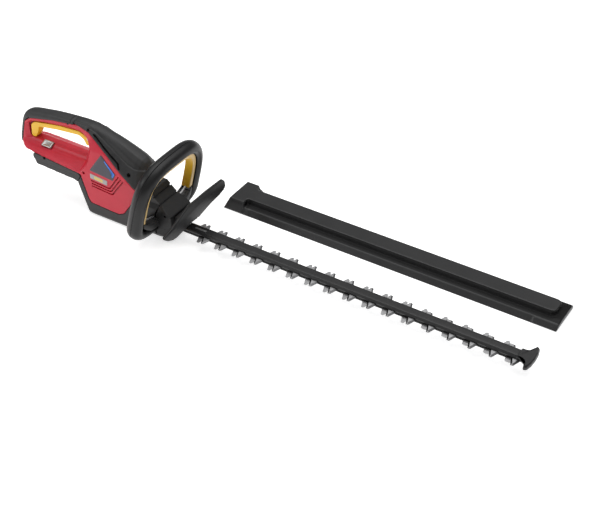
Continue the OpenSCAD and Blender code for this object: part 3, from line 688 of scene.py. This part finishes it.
def make_hump():
    """The motor cover, with a groove along each side painted with shade, and a seal in it given the same painted
    shade.
    """
    rings = []
    for x, crest, wall_y, wall_z, crease_y, crease_z, seam_y, seam_z in HUMP:
        half = [(0, crest), (wall_y * 0.5, crest - 0.4), (wall_y + 1, wall_z), (crease_y - 1.2, crease_z + 0.6),
                (crease_y + 0.6, crease_z + 0.8), (seam_y, seam_z), (seam_y + 1, seam_z - 5.5),
                (seam_y + 1, 60), (0, 60)]
        rings.append(at_x(mirrored(rounded(half, HUMP_CORNERS, 4)), x))
    hump = solid("hump", rings)
    combine(hump, slab(HUMP_AREA, -60, 60), "INTERSECT")
    soften(hump, 0.8, 2)
    place = right_side(hump)
    path = [place(x, z) / MM for x, z in spline(JOINT, 9)]
    x, z = NOSE_SCREW
    for side in (-1, 1):
        cut(hump, tube([(p.x, -side * p.y, p.z) for p in path], JOINT_RADIUS),
            rod((x, side * 60, z), (x, side * NOSE_HOLE_END, z), NOSE_HOLE_RADIUS))
    cut(hump, screw_hole(*SCREWS[2]))
    seals = [tube([(p.x, -side * (p.y + SEAL_SUNK), p.z) for p in path], SEAL_RADIUS) for side in (-1, 1)]
    # The seals are black rubber, drawn nearly black and dull as painted shade in the groove
    piece(joined("seals", seals), "hump_joint", "seal_rubber", finish="joint_line")
    piece(hump, "hump_cover", "dark_plastic", "motor_cover")
    near = KDTree(len(path))
    for k, p in enumerate(path):
        near.insert(p, k)
    near.balance()
    # Painted shade on the faces in and just beside the groove
    tint(hump, "joint_line", lambda p, normal: near.find((p.x, -abs(p.y), p.z))[2] < JOINT_SHADE)


def make_belly():
    belly = slab(BELLY, -BODY_HALF - PAST, BODY_HALF + PAST)
    combine(belly, body_form(), "INTERSECT")
    piece(soften(belly, 1.0, 5), "belly_cover", "dark_plastic", "bottom_cover")


def make_rail():
    """The battery's receiver, with a line along each side and two grooves for the battery's lips."""
    rail = slab(RAIL, -BODY_HALF, BODY_HALF)
    for side in (-1, 1):
        y0, y1 = sorted((side * 38.6, side * 36.8))
        cut(rail, block((-230, y0, 83.4), (-90, y1, 84.8)))
    soften(rail, 1.0, 4)
    cut(rail, block((-202, -28, 60), (-100, 28, 82)))
    for side in (-1, 1):
        cut(rail, block((-202, side * 31 - 3.5, 77), (-100, side * 31 + 3.5, 81)))
    cut(rail, screw_hole(*SCREWS[3]))
    piece(rail, "battery_receiver", "dark_plastic", "battery_rail")


def grip_ring(inner, crest, shrink):
    """A half ring of the soft cover from its inner line over its crest, drawn in by shrink."""
    inner, crest = Vector(inner), Vector(crest)
    ring = []
    for a in (math.pi * k / 24 for k in range(25)):
        y = (GRIP_HALF + 0.25 - shrink) * math.copysign(abs(math.cos(a)) ** 0.85, math.cos(a))
        p = inner + (crest - inner) * math.sin(a) ** 0.9 * (1 - shrink / (crest - inner).length)
        ring.append((p.x, y, p.y))
    return ring


def make_grip():
    stations = [((ix, iz), (ox, oz)) for ix, iz, ox, oz in spline(GRIP, 6)]
    inner, (ox, oz) = stations[0]
    rings = [grip_ring(inner, (ox, oz + 0.3 * k), shrink) for k, shrink in enumerate((4, 1.8, 0.6))]
    rings += [grip_ring(inner, crest, 0) for inner, crest in stations[2:]]
    for x, shrink in GRIP_END:
        inner, crest = (x + 0.3, 180.9 + (x + 113) * 0.15), (x, 190.2 + (x + 113) * 0.05)
        rings.append(grip_ring(inner, crest, shrink))
    grip = solid("grip", rings)
    cut(grip, *[screw_hole(x, z) for x, z in SCREWS[:2]], solver="EXACT")
    piece(grip, "grip_overmould", "soft_grip", "grip_cover", sharp=50)


def make_screw_heads():
    """The heads in the right side's holes, and the motor cover's on both sides."""
    heads = [screw_head(x, z, face, HEAD_RADIUS) for (x, z), face in zip(SCREWS, HEAD_FACES)]
    nose = screw_head(*NOSE_SCREW, NOSE_FACE, NOSE_RADIUS)
    heads += [nose, flipped(nose, "nose")]
    piece(joined("heads", heads), "housing_screw_heads", "dark_fastener", "housing_screws")


# ---- Rear controls ----

TRIGGER = rounded([(-223.5, 117), (-221, 114), (-212, 115.5), (-205, 129), (-201, 142.5), (-152, 151), (-98, 157),
                   (-87, 151.5), (-80, 139), (-72, 143), (-75, 158), (-96, 166.5), (-150, 162), (-213, 150),
                   (-222, 141)], [2.6, 2.6, 3, 8, 5, 20, 10, 8, 2.5, 4, 8, 10, 20, 9, 8], 5)
# The lever's rim: how far each ring is drawn in, and its place along Y
TRIGGER_RIM = [(1.6, -9), (0.5, -8.7), (0, -7.8), (0, 7.8), (0.5, 8.7), (1.6, 9)]
# The power button's plan, and its rings from the foot to the dished middle: share of the plan, and height
BUTTON_PLAN = rounded([(-11.8, -7.8), (11.8, -7.8), (11.8, 6.8), (-11.8, 6.8)], 2.6, 5)
BUTTON_RINGS = [(0.9, -1), (1, -0.6), (1, 1.9), (0.975, 2.7), (0.92, 3.1), (0.8, 3.15), (0.62, 2.7), (0.35, 2.4),
                (0.05, 2.3)]
BUTTON_Y = -0.5


def make_rear_controls():
    lever = plate(TRIGGER, TRIGGER_RIM, at_y)
    piece(lever, "rear_lever", "yellow_plastic", "rear_trigger", body="rear_trigger")

    cap = solid("cap", [[(x * share, (y - BUTTON_Y) * share + BUTTON_Y, z) for x, y in BUTTON_PLAN]
                        for share, z in BUTTON_RINGS])
    to_button_seat(cap)
    piece(cap, "power_rocker", "silver_plastic", "power_button", body="power_button", sharp=50)


# ---- Front handle ----

# The loop's half width, its top, widest and lowest heights, its place along X, its lean and how square it is
LOOP_HALF, LOOP_TOP, LOOP_MIDDLE, LOOP_LOW, LOOP_X, LEAN, SQUARENESS = 90, 176, 67, 28.5, 94, 0.25, 3.45
LOOP_NORMAL = Vector((1, 0, -LEAN)).normalized()
# Where the loop and its lever start, and the places of the loop's screws, in degrees round the loop
LOOP_START, LEVER_START, LOOP_SCREWS = -79.6, -6, (30, 90, 150)
# The front shell's section, outward and forward, from its outer edge to its inner wall
SHELL_ARC = [(13 * math.cos(a), 16 * math.sin(a)) for a in (math.radians(f) for f in range(10, 111, 10))]
SHELL_SECTION = [(12.1, 0.12), (12.85, 1.0)] + SHELL_ARC + [
    (-7.2, 13.2), (-8.6, 12), (-9, 11.5), (-8.8, 11.1), (-8.2, 10.9), (-2.6, 10.9), (-2.6, 0.12)]
LEVER_SECTION = rounded([(-9.2, -8.6), (-9.2, 8.6), (-11.4, 9.9), (-18.2, 9.9), (-19.4, 8.6), (-19.4, -8.6),
                         (-18.2, -9.9), (-11.4, -9.9)], 0.9, 3)
# The webs inside the loop's legs: distance from the middle plane, rear, front, lower and upper edge
WEB = [(30, 80, 106, 34, 49), (44, 82, 106, 35, 50), (58, 84, 107, 38, 53), (70, 88, 106, 46, 59),
       (77, 92, 104, 53, 64)]
LINK, LINK_RADIUS = [(98, 40, 58), (98, 50, 60.5), (97, 60, 62.5), (96, 66, 64)], 1.7


def eased(value):
    return math.copysign(abs(value) ** (2 / SQUARENESS), value)


def loop_at(angle):
    rise = LOOP_TOP - LOOP_MIDDLE if math.sin(angle) > 0 else LOOP_MIDDLE - LOOP_LOW
    z = LOOP_MIDDLE + rise * eased(math.sin(angle))
    return Vector((LOOP_X + LEAN * (z - LOOP_MIDDLE), LOOP_HALF * eased(math.cos(angle)), z))


def loop_sweep(section, start, steps):
    """A section, outward and forward distances, swept over the loop from one leg's end to the other's."""
    rings = []
    for i in range(steps + 1):
        angle = math.radians(180 - start + (2 * start - 180) * i / steps)
        along = loop_at(angle + 0.01) - loop_at(angle - 0.01)
        out = along.cross(LOOP_NORMAL).normalized()
        rings.append([tuple(loop_at(angle) + u * out + v * LOOP_NORMAL) for u, v in section])
    return solid("loop", rings)


def loop_rod(angle, start, end, radius, sides=24):
    """A rod across the loop, between two distances forward of its middle."""
    place = loop_at(math.radians(angle))
    return rod(place + start * LOOP_NORMAL, place + end * LOOP_NORMAL, radius, sides)


def make_loop():
    for side, name in ((1, "front"), (-1, "rear")):
        shell = loop_sweep([(u, side * v) for u, v in SHELL_SECTION], LOOP_START, 132)
        if side < 0:
            cut(shell, *[loop_rod(angle, -30, -9, 3.4) for angle in LOOP_SCREWS])
        piece(shell, f"loop_{name}_shell", "dark_plastic", f"front_handle_{name}_shell", finish="loop_plastic",
              sharp=40)
    heads = [cut(loop_rod(angle, -13, -8, 3.2), loop_rod(angle, -14, -11, 1.5, 6)) for angle in LOOP_SCREWS]
    piece(joined("heads", heads), "loop_screw_heads", "dark_fastener", "front_handle_screws")


def make_front_lever():
    """The loop's lever, whose forward faces are painted paler, a painted highlight."""
    lever = loop_sweep(LEVER_SECTION, LEVER_START, 96)
    piece(lever, "loop_lever", "yellow_plastic", "front_lever", body="front_lever", sharp=50)
    # Painted highlight: faces turned forward get a paler, greyer yellow
    tint(lever, "pale_edge", lambda p, normal: normal.dot(LOOP_NORMAL) > 0.35)


def make_webs():
    """The slotted webs between the loop's legs and the gear case, and the links in them."""
    webs = []
    for side in (-1, 1):
        web = solid("web", [[(x, side * y, z) for x, z in
                             rounded([(x0, low), (x1, low), (x1, high), (x0, high)], 3, 3)]
                            for y, x0, x1, low, high in WEB])
        for k in range(5):
            y = side * (38 + 7 * k)
            cut(web, block((84, y - 1.6, 47 + 2.2 * k), (108, y + 1.6, 70)))
        webs.append(web)
    piece(joined("webs", webs), "loop_webs", "dark_plastic", "lever_guides")
    links = [tube([(x, side * y, z) for x, y, z in LINK], LINK_RADIUS) for side in (-1, 1)]
    piece(joined("links", links), "lever_links", "spring_steel")


# ---- Gear case and hand guard ----

# Cross-section as Y and Z, and side outline as X and Z
CASE_SECTION = mirrored(rounded([(0, 0), (26, 0), (33, 12), (33, 68), (27, 80), (27, 110), (0, 110)],
                                [0, 5, 5, 5, 5, 0, 0], 4))
CASE_SIDE = rounded([(29, 3), (29, 52), (66.5, 52), (66.5, 100.6), (84, 100.6), (93.6, 92.3), (95, 90.2), (107, 80),
                     (133, 60), (133, 16), (118, 10), (100, 3)], [2, 2, 1, 2, 3, 0.5, 0.5, 1, 3, 3, 5, 5], 4)
# The front slope's direction and its normal, and the grooves across it: place, half width and depth
SLOPE_ALONG, SLOPE_OUT = Vector((0.759, -0.651)), Vector((0.651, 0.759))
SLOPE_GROOVES = [((93.2, 92.7), 1.3, 5), ((107.4, 80.5), 1.6, 6)]
CASE_SEAM = [(109, 84), (104.5, 74), (101.5, 68), (97, 58), (95.5, 30), (95.5, 4)]


def make_gear_case():
    case = combine(slab(CASE_SIDE, -33.4, 33.4), beam(CASE_SECTION, 20, 140), "INTERSECT")
    soften(case, 0.9, 4)
    for place, half_width, deep in SLOPE_GROOVES:
        corners = [Vector(place) + along * half_width * SLOPE_ALONG + out * SLOPE_OUT
                   for along, out in ((-1, -deep), (1, -deep), (1, 4), (-1, 4))]
        cut(case, slab([tuple(c) for c in corners], -40, 40))
    seam = groove(CASE_SEAM, 6, 29.5, 45)
    for side, tool in ((-1, seam), (1, flipped(seam, "seam"))):
        cut(case, tool, rod((119.8, side * 45, 60.4), (119.8, side * 24, 60.4), 2.3))
    lower = new_object("lower", case.data.copy())
    combine(case, block((0, -60, 30.1), (200, 60, 130)), "INTERSECT")
    cut(case, block((105.6, -11.5, 20), (140, 11.5, 34.4)))
    combine(lower, block((0, -60, -10), (200, 60, 29.85)), "INTERSECT")
    cut(lower, block((31.5, -21, 20.8), (113, 21, 40)), block((110, -14, 20.8), (140, 14, 40)))
    cut(lower, *[block((46 + 16 * k, -20, -2), (49 + 16 * k, 20, 4.2)) for k in range(4)])
    piece(case, "case_top", "case_casting", "gear_case_upper")
    piece(lower, "case_base", "case_casting", "gear_case_lower")


# Front view of the hand guard, as Y and Z, and its rim: how far each ring is drawn in, and its place along X
GUARD = rounded([(-99, 70), (-73, 74), (-50, 81), (-30, 88), (-16, 91.5), (46, 92), (93, 91), (100, 83), (101.5, 71),
                 (96, 65), (81, 60), (56, 57), (31, 52), (14, 48.5), (-10, 50), (-29, 47.5), (-58, 45.3), (-71, 47),
                 (-87, 55), (-97, 64)], [4, 12, 14, 14, 10, 14, 6, 6, 5, 6, 10, 14, 14, 14, 10, 14, 10, 8, 8, 4], 5)
GUARD_RIM = [(3.6, 160), (1.2, 160.3), (0.2, 161.4), (0, 163), (0.25, 164.6), (1, 165.6), (2.2, 166)]
# The guard's ends are bent forward by GUARD_BEND at GUARD_REACH from the middle
GUARD_BEND, GUARD_REACH, GUARD_POWER = 2.5, 100, 2.4
GUARD_FOOT = rounded([(133.3, 41), (160.5, 49), (160.5, 60), (133.3, 58)], [3, 1, 1, 3], 3)


def make_hand_guard():
    guard = plate(GUARD, GUARD_RIM, at_x)
    for vertex in guard.data.vertices:
        reach = abs(vertex.co.y) / MM
        vertex.co.x += GUARD_BEND * (reach / GUARD_REACH) ** GUARD_POWER * MM
    foot = cut(slab(GUARD_FOOT, -20, 20), block((137, -16.5, 30), (158, 16.5, 54.5)))
    combine(guard, foot, "UNION", "EXACT")
    cut(guard, *[rod((158, side * 10, 48), (170, side * 10, 48), 3.6) for side in (-1, 1)], solver="EXACT")
    piece(guard, "hand_shield", "dark_plastic", "hand_guard", finish="guard_plastic", sharp=40)


# ---- Blades and bar ----

TEETH, PITCH, FIRST_TOOTH, SHORT_TEETH = 17, 40, 195, 5
SPINE_HALF, TOOTH_REACH, SHORT_REACH = 10.8, 28.2, 22.2
TOOTH_ROOT, TOOTH_TIP = 8, 3.5
BLADE_START, BLADE_END = 43, 843
# The height of a blade's upright edge, and how far its bevels are ground in
BLADE_LAND, GRIND = 0.5, 3.1
# The blades' yokes: the gear's place, the window's half length and width, and the rim round it
GEAR_X, WINDOW_X, WINDOW_Y, YOKE_RIM = 72, 24.5, 15, 5
# Bolts through the bar, and the half length and half width of the blades' slots for them
BOLTS, SLOT_LENGTH, SLOT_WIDTH = [215 + 140 * k for k in range(5)], 14.3, 4.1
# How far each blade is drawn from mid-stroke, and the heights of its cutting and its ground face
BLADE_SHIFT, TOP_FACES, BOTTOM_FACES = 5, (24.9, 28), (24.8, 21.7)
# Cross-sections as Y and Z: the bar, and the room for it in the tip guard
BAR = mirrored(rounded([(0, 28.15), (12, 28.15), (12, 30.75), (8, 34.15), (0, 34.15)], [0, 0.4, 0.9, 1.2, 0], 4))
ROOM = mirrored(rounded([(0, 26), (12.1, 26), (12.1, 30.9), (8.1, 34.3), (0, 34.3)], [0, 0.1, 0.9, 1.2, 0], 4))
BAR_START, BAR_END, BAR_EASE = 106, 866, 0.5
# The slot in the bar's top and the height of its floor, and the tip guard's screw
BAR_SLOT, BAR_SLOT_FLOOR, TIP_SCREW = rounded(band(166, 193, 3.3), 3.2, 6), 32.8, 860
# One side of the tip guard's plan, as X, Y and corner, its front, and its rim as inset and height
TIP_SIDE = [(840, 13.2, 3.5), (851, 13.4, 14), (858, 18.5, 14), (860.8, 31, 3.4), (867.5, 28, 6), (870.6, 15, 12)]
TIP_FRONT = (871.6, 0, 12)
TIP_RIM = [(1.2, 26.6), (0.3, 27), (0, 27.8), (0, 31.6), (0.5, 33.4), (1.4, 35), (2.6, 36.2)]


def tooth_edge(short, grind):
    """One tooth that points along +Y, from its rear root to its front root, narrowed by the grinding."""
    root, base = TOOTH_ROOT - grind, SPINE_HALF
    if short:
        wide, end = TOOTH_TIP + 2.2 - grind, SHORT_REACH - grind * 0.5
        half = [(root + 1.6, base), (root + 0.3, base + 0.8), (wide + 0.2, end - 1), (wide - 0.5, end)]
        tip = [(0, end)] * 5
    else:
        radius, end = TOOTH_TIP - grind, TOOTH_REACH - TOOTH_TIP
        half = [(root + 1.8, base), (root + 0.4, base + 0.9)]
        tip = [(-radius * math.cos(a), end + radius * math.sin(a)) for a in (math.pi * k / 8 for k in range(9))]
    return [(-x, y) for x, y in half] + tip + half[::-1]


def blade_outline(short_side, grind, shift):
    """The whole outline of a blade. short_side is the side whose last teeth are short."""
    sides = []
    for side in (1, -1):
        edge = [(BLADE_START, SPINE_HALF), (GEAR_X + WINDOW_X + YOKE_RIM + 6, SPINE_HALF)]
        for i in range(TEETH):
            middle = FIRST_TOOTH + i * PITCH - (PITCH / 2 if side > 0 else 0)
            short = side == short_side and i >= TEETH - SHORT_TEETH
            edge += [(middle + x, y) for x, y in tooth_edge(short, grind)]
        edge.append((BLADE_END, SPINE_HALF))
        sides.append([(x + shift, side * y) for x, y in edge])
    return sides[0] + sides[1][::-1]


def make_blade(short_side, shift, cutting_face, ground_face):
    up = 1 if ground_face > cutting_face else -1
    full, ground = blade_outline(short_side, 0, shift), blade_outline(short_side, GRIND, shift)
    blade = solid("blade", [at_z(full, cutting_face), at_z(full, cutting_face + up * BLADE_LAND),
                            at_z(ground, ground_face)])
    low, high = sorted((cutting_face, ground_face))
    middle, reach_x, reach_y = GEAR_X + shift, WINDOW_X + YOKE_RIM, WINDOW_Y + YOKE_RIM
    combine(blade, block((middle - reach_x, -reach_y, low), (middle + reach_x, reach_y, high)), "UNION")
    cut(blade, block((middle - WINDOW_X, -WINDOW_Y, low - 1), (middle + WINDOW_X, WINDOW_Y, high + 1)))
    for x in BOLTS:
        slot = rounded(band(x + shift - SLOT_LENGTH, x + shift + SLOT_LENGTH, SLOT_WIDTH), SLOT_WIDTH, 5)
        cut(blade, column(slot, low - 1, high + 1))
    return blade


def make_blades():
    """Both blades, with painted shade: the front bevels a little darker, and the rear ones and the spine's edges
    nearly black.
    """
    top, bottom = make_blade(1, BLADE_SHIFT, *TOP_FACES), make_blade(-1, -BLADE_SHIFT, *BOTTOM_FACES)
    for blade, name, node in ((top, "top_blade", "upper_blade"), (bottom, "bottom_blade", "lower_blade")):
        piece(blade, name, "blade_steel", node, body=node, sharp=15)
        # Painted shade: forward bevels a little darker, rear bevels and the spine's sides nearly black
        tint(blade, "front_bevel_shade", lambda p, normal: normal.x > 0.25)
        tint(blade, "rear_and_spine_shade", lambda p, normal: normal.x < -0.25 or
             abs(p.y) < SPINE_HALF + 1.2 and abs(normal.y) > 0.5)


def make_bar():
    """The guide bar over the blades. The floor of its slot is bright."""
    narrow = inset(BAR, BAR_EASE)
    bar = solid("bar", [at_x(narrow, BAR_START), at_x(BAR, BAR_START + BAR_EASE), at_x(BAR, BAR_END - BAR_EASE),
                        at_x(narrow, BAR_END)])
    cut(bar, column(BAR_SLOT, BAR_SLOT_FLOOR, 36), *[rod((x, 0, 20), (x, 0, 33), 3.05, 32) for x in BOLTS])
    cut(bar, rod((TIP_SCREW, 0, 20), (TIP_SCREW, 0, 40), 2.05))
    piece(bar, "blade_bar", "black_casting", "guide_bar", sharp=20)
    tint(bar, "zinc_fastener", lambda p, normal: normal.z > 0.9 and abs(p.z - BAR_SLOT_FLOOR) < 0.7)


def make_tip_guard():
    """The guard at the bar's far end, which fans out and thins towards its rim."""
    fan = [(x, -y, r) for x, y, r in TIP_SIDE] + [TIP_FRONT] + TIP_SIDE[::-1]
    guard = plate(rounded([(x, y) for x, y, r in fan], [r for x, y, r in fan], 5), TIP_RIM, at_z)
    cut(guard, beam(ROOM, 830, BAR_END + 0.2), solver="EXACT")
    piece(guard, "tip_shield", "tip_plastic", "tip_guard")


# ---- Blade cover ----

COVER_X, COVER_Y, COVER_LENGTH, COVER_TOP = 158, 160, 704, 25
# Along the cover, the ends of its mouth and its ridge, the height of the ridge's foot, and its plan
MOUTH, MOUTH_FRONT, RIDGE_END, RIDGE_FOOT = 33, -11, 690, 12
RIDGE = rounded(band(10, RIDGE_END, 18.5), [1, 13, 13, 1], 8)
# Half cross-sections as Y and Z
LOW_HALF = [(0, 0), (40, 0), (31, 11), (19.6, 13), (0, 13)]
MOUTH_HALF = [(0, 0), (41, 0), (32, COVER_TOP), (0, COVER_TOP)]
COLLAR_HALF = [(0, 0), (40.7, 0), (40.7, 2), (32.6, 10.4), (0, 10.4)]
# Hollows: half cross-section, and where it starts and ends
HOLLOWS = [
    ([(0, -1), (37.8, -1), (28.6, 8.6), (18, 10.4), (0, 10.4)], 5, COVER_LENGTH - 2.5),
    ([(0, 5), (16, 5), (16, COVER_TOP - 2.5), (0, COVER_TOP - 2.5)], 5, RIDGE_END - 10),
    ([(0, -2), (38.5, -2), (29, COVER_TOP - 2.6), (0, COVER_TOP - 2.6)], MOUTH_FRONT - 4, MOUTH - 5),
]
COLLARS = [(656, COVER_LENGTH), (20, 47)]
# Fine grooves on both sides: distance from the middle, start, end, and lower and upper edge
FINE_GROOVES = [(30.2, MOUTH + 12, 655, 10.2, 14), (33.4, 3, MOUTH - 3, 20.2, 23)]
FINE_HALF = 0.7


def cover_skin(section, x0, x1, slant=0):
    """A cross-section of the cover between two places. slant moves the first end forward with height."""
    outline = mirrored(section)
    return solid("cover", [[(COVER_X + x + slant * z * (x == x0), COVER_Y + y, z) for y, z in outline]
                           for x in (x0, x1)])


def make_cover():
    """The loose cover beside the blades, with painted shade on its ridge's sides and beside the ridge."""
    cover = cover_skin(LOW_HALF, 1, COVER_LENGTH)
    combine(cover, cover_skin(MOUTH_HALF, MOUTH_FRONT, MOUTH, -MOUTH_FRONT / COVER_TOP), "UNION")
    ridge = solid("ridge", [[(COVER_X + x, COVER_Y + y * widen, z) for x, y in RIDGE]
                            for z, widen in ((RIDGE_FOOT, 1.03), (COVER_TOP, 1))])
    combine(cover, ridge, "UNION")
    for x0, x1 in COLLARS:
        combine(cover, cover_skin(COLLAR_HALF, x0, x1), "UNION")
    for side in (-1, 1):
        for out, x0, x1, z0, z1 in FINE_GROOVES:
            y = COVER_Y + side * out
            cut(cover, block((COVER_X + x0, y - FINE_HALF, z0), (COVER_X + x1, y + FINE_HALF, z1)))
    cut(cover, block((COVER_X + 29, COVER_Y + 19.5, 12.8), (COVER_X + MOUTH + 4, COVER_Y + 40, 30)))
    cut(cover, *[cover_skin(*hollow) for hollow in HOLLOWS])
    soften(cover, 1.6, 2)
    piece(cover, "scabbard", "cover_plastic", "blade_cover", body="blade_cover", sharp=60)
    # Painted shade on the ridge's walls and the shelves beside them
    tint(cover, "cover_side", lambda p, normal: p.x > COVER_X + MOUTH and 9.4 < p.z < COVER_TOP - 0.7
         and abs(p.y - COVER_Y) < 30)


make_camera()
make_studio()
make_badges(make_red_shells())
for make in (make_hump, make_belly, make_rail, make_grip, make_screw_heads, make_rear_controls, make_loop,
             make_front_lever, make_webs, make_gear_case, make_hand_guard, make_blades, make_bar, make_tip_guard,
             make_cover):
    make()

for node, obj in frame["nodes"].items():
    slot = next(s["material_slot"] for s in frame["record"]["subparts"] if s["node"] == node)
    obj.data.materials.clear()
    obj.data.materials.append(FINISH[slot])
